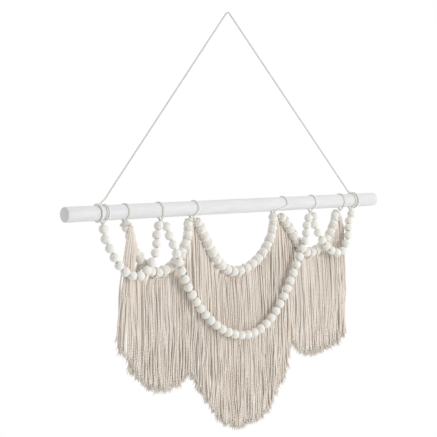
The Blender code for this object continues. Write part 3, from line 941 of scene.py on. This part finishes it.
def cords_in_gap(fringe, index, last, way):
    """How many cords are tied into a gap, and where their tails hang clear of the beads."""
    if index == last:
        return fringe.right_knots, LEG_AWAY
    if index == 0:
        return fringe.left_knots, BUNCH_AWAY if fringe.bare else REAR_AWAY
    if index <= fringe.bare:
        return 0, REAR_AWAY
    return max(FEWEST_KNOTS, round(fringe.low_knots * abs(way.x))), away_in_gap(way)


class Strands:
    """Every strand of the three fringes, laid down together from the top level to the tips."""

    def __init__(self, settings, garlands):
        self.radius = settings.diameter / 2.0
        self.fray = settings.fray
        self.roots, self.aways, self.starts = [], [], []
        self.targets, self.layers, self.tips, self.clumps = [], [], [], []
        self.knots = []
        for fringe in FRINGES:
            self.tie_fringe(fringe, garlands[fringe.swag.name])
        for name in ("roots", "aways", "starts", "targets", "layers", "tips"):
            setattr(self, name, np.array(getattr(self, name)))
        self.back_beads = np.vstack([garlands[swag.name].centres for swag in BACK_SWAGS])
        self.front_beads = np.vstack([garlands[swag.name].centres for swag in FRONT_SWAGS])
        self.lay_down()

    def nest(self, aside, outermost, end):
        """How far out a wrap lies: the outermost ones rest on the beads, the others heap up.

        At an end of the string (-1 or 1) there is a bead on one side only."""
        rest = BEAD_RADIUS + SQUEEZED * self.radius
        if end:
            to_bead = BEAD_RADIUS + end * aside
            return math.sqrt(max(rest * rest - to_bead * to_bead, NARROWEST_WRAP ** 2))
        to_bead = BEAD_RADIUS - outermost
        heap = rest * rest - to_bead * to_bead + outermost * outermost
        return math.sqrt(heap - aside * aside)

    def tie_fringe(self, fringe, garland):
        """Ties cords into the gaps between the beads and says where their tails are to hang."""
        places = garland.gap_places()
        last = len(places) - 1
        known = len(self.starts)
        for index, place in enumerate(places):
            at = along(garland.line, [place])[0]
            way = garland.direction(place)
            count, away = cords_in_gap(fringe, index, last, way)
            end = (index == last) - (index == 0)
            for knot in range(count):
                self.tie_cord(fringe.name, at, way, away, end, knot, count)
        self.share_out(fringe, [start[0] for start in self.starts[known:]])

    def tie_cord(self, name, at, way, away, end, knot, count):
        """Ties one of a gap's cords: rows of them lie side by side, and later rows on top."""
        tier, across = divmod(knot, KNOT_ROW)
        in_row = min(count - tier * KNOT_ROW, KNOT_ROW)
        offset = (2 * across - (in_row - 1)) * WRAP_SPACING
        outermost = (in_row - 0.5) * WRAP_SPACING
        tails, reaches = [], []
        for half in (-WRAP_SPACING / 2.0, WRAP_SPACING / 2.0):
            tails.append(len(self.roots))
            reaches.append(self.nest(offset + half, outermost, end) + tier * TIER_RISE)
            root = at + np.array(way) * (offset + half)
            self.roots.append(root)
            self.aways.append(away)
            self.starts.append(root[:2] + reaches[-1] * np.array(away))
        self.knots.append(Tied(name, tails, way, away, reaches))

    def share_out(self, fringe, wanted):
        """Gives each tail of a fringe its place, its layer, its clump and its cut end."""
        noise = random.Random(fringe.seed)
        low, high = ROD_CENTRE.x + fringe.left_x, ROD_CENTRE.x + fringe.right_x
        rank = np.empty(len(wanted), int)
        rank[np.argsort(wanted)] = np.arange(len(wanted))
        even = np.linspace(low, high, len(wanted))[rank]
        clump = (rank // 2 + CLUMP // 2 * (rank % 2)) // CLUMP * 2 + rank % 2
        self.layers += list(rank % 2)
        self.clumps += list(clump + 1 + max(self.clumps, default=-1))
        for start_x, even_x in zip(wanted, even):
            hang_x = (1.0 - EVEN_SHARE) * min(max(start_x, low), high) + EVEN_SHARE * even_x
            hang_x += noise.gauss(0.0, UNEVEN_HANG)
            self.targets.append(hang_x)
            line = np.interp(hang_x - ROD_CENTRE.x, *np.transpose(TIPS))
            self.tips.append(ROD_CENTRE.z + line + FRAY_SHARE * self.fray
                             + noise.uniform(-TIP_SPREAD, TIP_SPREAD))

    def lay_down(self):
        """Lets the strands down level by level, and notes where each of them passes."""
        count = len(self.roots)
        self.levels = np.arange(self.roots[:, 2].max(), self.tips.min() - LEVEL, -LEVEL)
        rng = np.random.default_rng(WAVE_SEED)
        self.plan_waves(rng, count)
        self.x, self.y = self.starts.T.copy()
        self.bunched = self.aways[:, 1] < 0.0
        hang_y = (self.roots[:, 1] + np.where(self.bunched, BUNCH_Y, LAYER_Y)
                  + LAYER_STEP * self.layers)
        self.hang_y = hang_y + rng.uniform(-LAYER_SPREAD, LAYER_SPREAD, count)
        self.middle = self.targets.mean()
        self.xs = np.full((len(self.levels), count), np.nan)
        self.ys = np.full((len(self.levels), count), np.nan)
        for row, z in enumerate(self.levels):
            hanging = (self.roots[:, 2] >= z) & (self.tips <= z + LEVEL)
            live = np.flatnonzero(hanging)
            if len(live):
                self.untangle(live[self.bunched[live]])
                self.lay_level(row, z, live)

    def plan_waves(self, rng, count):
        """Starts and lengths of every strand's waves, nearly alike within a clump."""
        clumps = max(self.clumps) + 1
        phases = rng.uniform(0.0, TURN, (2, len(WAVES), clumps))[:, :, self.clumps]
        self.phases = phases + rng.normal(0.0, CLUMP_LOOSE, (2, len(WAVES), count))
        self.longer = rng.uniform(*WAVE_SIZES, (len(WAVES), clumps))[:, self.clumps]

    def untangle(self, bunch):
        """Swaps the bunched strands' places and tips, so that none has to cross another."""
        now = bunch[np.argsort(self.x[bunch])]
        wanted = bunch[np.argsort(self.targets[bunch])]
        self.targets[now], self.tips[now] = self.targets[wanted], self.tips[wanted]

    def lay_level(self, row, z, live):
        """Moves the strands at one level towards their places, sways them and parts them."""
        fall = self.roots[live, 2] - z
        self.lean(live, fall)
        sway, depth = self.sway(live, fall)
        swollen = np.where(self.bunched[live], BUNCH_LENGTH, SWELL_LENGTH)
        swell = np.clip(fall / swollen, 0.0, 1.0)
        reach = self.radius * (SQUEEZED + (1.0 - SQUEEZED) * swell)
        x, y = self.part(self.x[live] + sway, self.y[live] + depth, z, reach, self.aways[live])
        self.xs[row, live], self.ys[row, live] = x, y
        self.x[live], self.y[live] = x - sway, y - depth

    def lean(self, live, fall):
        """Moves strands one step aside, to the places where they are to hang."""
        targets = self.targets[live]
        goal_x = targets + FLARE * (targets - self.middle) * fall / FLARE_FALL
        aside = np.abs(goal_x - self.roots[live, 0])
        slope = np.minimum(aside / LEAN_FALL, STEEPEST)
        near = (aside < QUICK_REACH) & ~self.bunched[live]
        pace = np.where(near, QUICK, slope) * LEVEL
        self.x[live] += np.clip(goal_x - self.x[live], -pace, pace)
        self.y[live] += (self.hang_y[live] - self.y[live]) * DEPTH_PULL

    def sway(self, live, fall):
        """How far the waves carry strands sideways and in depth."""
        rise = np.clip(fall / WAVE_RISE, 0.0, 1.0)
        sway, depth = np.zeros(len(live)), np.zeros(len(live))
        for wave, across, deep, longer in zip(WAVES, *self.phases, self.longer):
            turned = TURN * fall / (wave.length * longer[live])
            sway += rise * wave.sway * np.sin(turned + across[live])
            depth += rise * wave.depth * np.sin(DEPTH_WAVE * turned + deep[live])
        return sway, depth

    def part(self, x, y, z, reach, aways):
        """Parts the strands that overlap at one level, and keeps them off the beads."""
        want = CROWDING * (reach[:, None] + reach[None, :])
        for _ in range(PARTINGS):
            dx = x[:, None] - x[None, :]
            dy = y[:, None] - y[None, :]
            gap = np.sqrt(dx * dx + dy * dy) + TINY
            push = np.where(gap < want, (want - gap) / gap * PART_SHARE, 0.0)
            np.fill_diagonal(push, 0.0)
            x = x + np.clip((dx * push).sum(1), -PART_MOST, PART_MOST)
            y = y + np.clip((dy * push).sum(1), -PART_MOST, PART_MOST)
            x, y = self.off_beads(x, y, z, reach, aways)
        return x, y

    def off_beads(self, x, y, z, reach, aways):
        """Keeps strands on their own side of the rear beads, and behind the front ones."""
        rearward = np.tile(REAR_AWAY, (len(x), 1))
        for beads, (away_x, away_y) in ((self.back_beads, aways.T), (self.front_beads, rearward.T)):
            near = beads[np.abs(beads[:, 2] - z) < BEAD_RADIUS + reach.max()]
            for bead in near:
                out = (x - bead[0]) * away_x + (y - bead[1]) * away_y
                across = (x - bead[0]) * away_y - (y - bead[1]) * away_x
                room = (BEAD_RADIUS + BEAD_CLEAR * reach) ** 2 - (bead[2] - z) ** 2 - across ** 2
                push = np.sqrt(np.clip(room, 0.0, None)) - out
                push = np.where((room > 0.0) & (push > 0.0), push, 0.0)
                x = x + push * away_x
                y = y + push * away_y
        return x, y

    def tail(self, index):
        """Centreline of one tail from just under its knot to its cut end."""
        rows = np.flatnonzero(~np.isnan(self.xs[:, index]))
        line = np.stack([self.xs[rows, index], self.ys[rows, index], self.levels[rows]], 1)
        for _ in range(2):
            line[1:-1, :2] = (line[:-2, :2] + 2.0 * line[1:-1, :2] + line[2:, :2]) / 4.0
        return line


def knot_wraps(roots, tied):
    """Cord wound twice round the string, from where one tail hangs to where the other does."""
    out = Vector((*tied.away, 0.0))
    out = (out - out.dot(tied.way) * tied.way).normalized()
    up = tied.way.cross(out)
    up = up if up.z > 0.0 else -up
    out, up = np.array(out), np.array(up)
    begin, over = WRAP_CROSSING
    points = []
    for step in range(1, WRAP_STEPS):
        angle = 2.0 * TURN * step / WRAP_STEPS
        share = ease((angle / TURN - begin) / over)
        centre = roots[0] + (roots[1] - roots[0]) * share
        reach = tied.reaches[0] + (tied.reaches[1] - tied.reaches[0]) * share
        points.append(centre + reach * (math.cos(angle) * out + math.sin(angle) * up))
    return np.array(points)


def tied_cord(settings, strands, tied, noise):
    """One cord with its knot in the middle, and the loose fibres at its two ends."""
    radius = settings.diameter / 2.0 * noise.uniform(*STRAND_SIZES)
    tails = [strands.tail(index) for index in tied.tails]
    wraps = knot_wraps(strands.roots[tied.tails], tied)
    points = np.vstack([tails[0][::-1], wraps, tails[1]])
    lengths = running_lengths(points)
    begin, end = lengths[len(tails[0])], lengths[len(tails[0]) + len(wraps) - 1]
    beyond = np.abs(lengths - (begin + end) / 2.0) - (end - begin) / 2.0
    swell = ease(beyond / SWELL_LENGTH)
    radii = radius * (SQUEEZED + (1.0 - SQUEEZED) * swell)
    to_cut = np.minimum(lengths, lengths[-1] - lengths)
    radii = radii * (0.5 + 0.5 * np.clip(to_cut / CUT_TAPER, 0.0, 1.0))
    tone = noise.random()
    # painted light: the knots are painted paler, to lift their shade between the beads
    shade = tone - KNOT_PAINTED_LIGHT * (1.0 - swell)
    cord = Run(points, radii, settings.lay * noise.uniform(*LAY_SIZES), shade)
    return cord, [fibre for tail in tails for fibre in frayed_end(settings, tail, noise, tone)]


def frayed_end(settings, tail, noise, tone):
    """Loose fibres that fan out of a cut end, each a thin curling thread."""
    rim = FIBRE_RIM * settings.diameter / 2.0
    start = tail[-3]
    way = tail[-1] - start
    way = way / np.linalg.norm(way)
    radii = FIBRE_RADIUS * np.array([thickness for _, thickness in FIBRE_TAPER])
    fibres = []
    for _ in range(settings.fibres):
        angle = noise.uniform(0.0, TURN)
        out = np.array([math.cos(angle), math.sin(angle), 0.0])
        fan = noise.uniform(*FIBRE_FAN)
        length = FIBRE_HIDDEN + settings.fray * noise.uniform(*FIBRE_SIZES)
        curl = np.array([noise.uniform(-1.0, 1.0), noise.uniform(-1.0, 1.0), 0.0]) * FIBRE_CURL
        points = [start + way * length * share + out * (rim + fan * length * share ** FAN_POWER)
                  + curl * share ** 2 * math.sin(CURL_ANGLE * share) for share, _ in FIBRE_TAPER]
        # painted light: the loose fibres are painted paler than their strand
        fibres.append(Run(np.array(points), radii, UNTWISTED, tone - END_PAINTED_LIGHT))
    return fibres


def build_fringes(settings, material):
    garlands = {swag.name: Garland(swag) for swag in FRONT_SWAGS + BACK_SWAGS}
    strands = Strands(settings, garlands)
    for fringe in FRINGES:
        noise = random.Random(fringe.name)
        cords, fibres = [], []
        for tied in strands.knots:
            if tied.fringe == fringe.name:
                cord, loose = tied_cord(settings, strands, tied, noise)
                cords.append(cord)
                fibres += loose
        for form, runs, section in (("strands", cords, STRAND), ("frayed_ends", fibres, FIBRE)):
            name = f"{fringe.name}_{form}"
            mesh = cord_mesh(name, runs, section)
            finished(name, mesh, material, "cotton_fringe", fringe.name)


# ---- stage
FLOOR_REACH = 3.0
FLOOR_CLOUD = 1.5
FLOOR_DULL = 0.98
BRIGHT_WAY = (0.8, 0.55, 0.25)  # the studio is brightest on this side
BRIGHT_RANGE = (-0.95, 0.3)
KEY_SIZE = 1.1
KEY_PLACE = (1.10, -3.40, 0.35)
KEY_AIM = Vector((0.02, 0.0, -0.45))
SENSOR_WIDTH = 36.0
FOCAL_LENGTH = 105.45
CAMERA_PLACE = (-1.524, -1.639, -0.211)
CAMERA_TURN = (math.radians(86.3), 0.0, math.radians(-42.5))


def build_floor(settings):
    bm = bmesh.new()
    bmesh.ops.create_grid(bm, x_segments=1, y_segments=1, size=FLOOR_REACH)
    bmesh.ops.translate(bm, verts=bm.verts, vec=(0.0, 0.0, -settings.floor_drop))
    mesh = as_mesh(bm, "floor")
    material, tree, shader = start_material("pale_floor")
    place = add_node(tree, "ShaderNodeTexCoord").outputs["Object"]
    cloud = add_node(tree, "ShaderNodeTexNoise", {"Scale": FLOOR_CLOUD},
                     {"Vector": place}).outputs["Fac"]
    dull = tuple(c * FLOOR_DULL for c in settings.floor)
    mix = add_node(tree, "ShaderNodeMix",
                   {"data_type": "RGBA", MIX_FROM: (*dull, 1.0), MIX_TO: (*settings.floor, 1.0)},
                   {"Factor": cloud})
    tree.links.new(mix.outputs[MIXED], shader.inputs["Base Color"])
    shader.inputs["Roughness"].default_value = 0.9
    mesh.materials.append(material)
    floor = new_piece("floor", mesh)


def build_studio(settings):
    """White all round behind the hanging, and dimmer towards the room's left."""
    world = bpy.data.worlds.new("studio")
    bpy.context.scene.world = world
    world.use_nodes = True
    tree = world.node_tree
    way = add_node(tree, "ShaderNodeTexCoord").outputs["Generated"]
    side = add_node(tree, "ShaderNodeVectorMath", {"operation": "DOT_PRODUCT"}, {0: way})
    side.inputs[1].default_value = BRIGHT_WAY
    low, high = BRIGHT_RANGE
    bright = add_node(tree, "ShaderNodeMapRange",
                      {"From Min": low, "From Max": high, "To Min": settings.dim_side,
                       "To Max": 1.0}, {"Value": side.outputs["Value"]})
    background = tree.nodes["Background"]
    background.inputs["Color"].default_value = (1.0, 1.0, 1.0, 1.0)
    tree.links.new(bright.outputs["Result"], background.inputs["Strength"])


def place_key(settings):
    key = bpy.data.lights.new("key_softbox", "AREA")
    key.shape = "SQUARE"
    key.size = KEY_SIZE
    key.energy = settings.key_power
    holder = new_piece("key_softbox", key)
    holder.location = KEY_PLACE
    holder.rotation_euler = (KEY_AIM - holder.location).to_track_quat("-Z", "Y").to_euler()


def place_camera():
    camera = bpy.data.cameras.new("camera")
    camera.sensor_width = SENSOR_WIDTH
    camera.lens = FOCAL_LENGTH
    holder = new_piece("camera", camera)
    holder.location = CAMERA_PLACE
    holder.rotation_euler = CAMERA_TURN
    bpy.context.scene.camera = holder


def build_stage(settings):
    """A plain pale floor far below the hanging, soft studio light and the camera."""
    build_floor(settings)
    build_studio(settings)
    place_key(settings)
    place_camera()
    bpy.context.scene.view_settings.view_transform = "Standard"


# ---- operators
class HANGING_OT_stage(bpy.types.Operator):
    """Set out the pale floor, the studio light and the camera"""
    bl_idname = "hanging.stage"
    bl_label = "Set the stage"

    def execute(self, context):
        build_stage(context.scene.hanging_stage)
        return {"FINISHED"}


class HANGING_OT_hanger(bpy.types.Operator):
    """Twist the hanger cord along its route and knot its ends to the rod"""
    bl_idname = "hanging.hanger"
    bl_label = "Make the hanger cord"

    def execute(self, context):
        settings = context.scene.hanging_cord
        material = thin_cotton(settings)
        build_hanger(settings, material)
        build_ties(settings, material)
        return {"FINISHED"}


class HANGING_OT_rod(bpy.types.Operator):
    """Turn and paint the dowel rod"""
    bl_idname = "hanging.rod"
    bl_label = "Make the rod"

    def execute(self, context):
        build_rod(context.scene.hanging_rod)
        return {"FINISHED"}


class HANGING_OT_loops(bpy.types.Operator):
    """Wind the cords that tie the bead strings to the rod"""
    bl_idname = "hanging.loops"
    bl_label = "Wind the loops"

    def execute(self, context):
        settings = context.scene.hanging_cord
        build_loops(settings, thin_cotton(settings))
        return {"FINISHED"}


class HANGING_OT_beads(bpy.types.Operator):
    """Turn the beads and string them in six swags"""
    bl_idname = "hanging.beads"
    bl_label = "String the beads"

    def execute(self, context):
        scene = context.scene
        build_garlands(scene.hanging_beads, scene.hanging_cord,
                       whitewashed_beech(scene.hanging_beads), thin_cotton(scene.hanging_cord))
        return {"FINISHED"}


class HANGING_OT_fringe(bpy.types.Operator):
    """Knot the fringe between the beads of the rear swags and cut it"""
    bl_idname = "hanging.fringe"
    bl_label = "Knot the fringe"

    def execute(self, context):
        settings = context.scene.hanging_fringe
        # a strand's spun fibres are far finer than a millimetre, and are drawn 0.5 mm wide
        material = cotton("spun_fringe_cotton", settings.pale, settings.darker_cotton, tint_span=(-1.7, 1.3),
                          fibre_width=0.5 * MM, fibre_depth=0.25 * MM)
        build_fringes(settings, material)
        return {"FINISHED"}


class HANGING_PT_panel(bpy.types.Panel):
    """Lists the pieces of the hanging and their sizes"""
    bl_idname = "HANGING_PT_panel"
    bl_label = "Macrame wall hanging"
    bl_space_type = "VIEW_3D"
    bl_region_type = "UI"
    bl_category = "Hanging"

    def draw(self, context):
        for operator, group in STEPS:
            column = self.layout.column()
            column.operator(operator.bl_idname)
            settings = getattr(context.scene, group)
            for name in settings.__annotations__:
                column.prop(settings, name)


STEPS = (
    (HANGING_OT_stage, "hanging_stage"),
    (HANGING_OT_hanger, "hanging_cord"),
    (HANGING_OT_rod, "hanging_rod"),
    (HANGING_OT_loops, "hanging_cord"),
    (HANGING_OT_beads, "hanging_beads"),
    (HANGING_OT_fringe, "hanging_fringe"),
)
GROUPS = {
    "hanging_rod": RodSettings,
    "hanging_cord": CordSettings,
    "hanging_beads": BeadSettings,
    "hanging_fringe": FringeSettings,
    "hanging_stage": StageSettings,
}


def register():
    for name, group in GROUPS.items():
        bpy.utils.register_class(group)
        setattr(bpy.types.Scene, name, PointerProperty(type=group))
    for operator, _ in STEPS:
        bpy.utils.register_class(operator)
    bpy.utils.register_class(HANGING_PT_panel)


def unregister():
    bpy.utils.unregister_class(HANGING_PT_panel)
    for operator, _ in reversed(STEPS):
        bpy.utils.unregister_class(operator)
    for name, group in reversed(GROUPS.items()):
        delattr(bpy.types.Scene, name)
        bpy.utils.unregister_class(group)


def main():
    register()
    bpy.ops.hanging.stage()
    bpy.ops.hanging.hanger()
    bpy.ops.hanging.rod()
    bpy.ops.hanging.loops()
    bpy.ops.hanging.beads()
    bpy.ops.hanging.fringe()


if __name__ == "__main__":
    main()
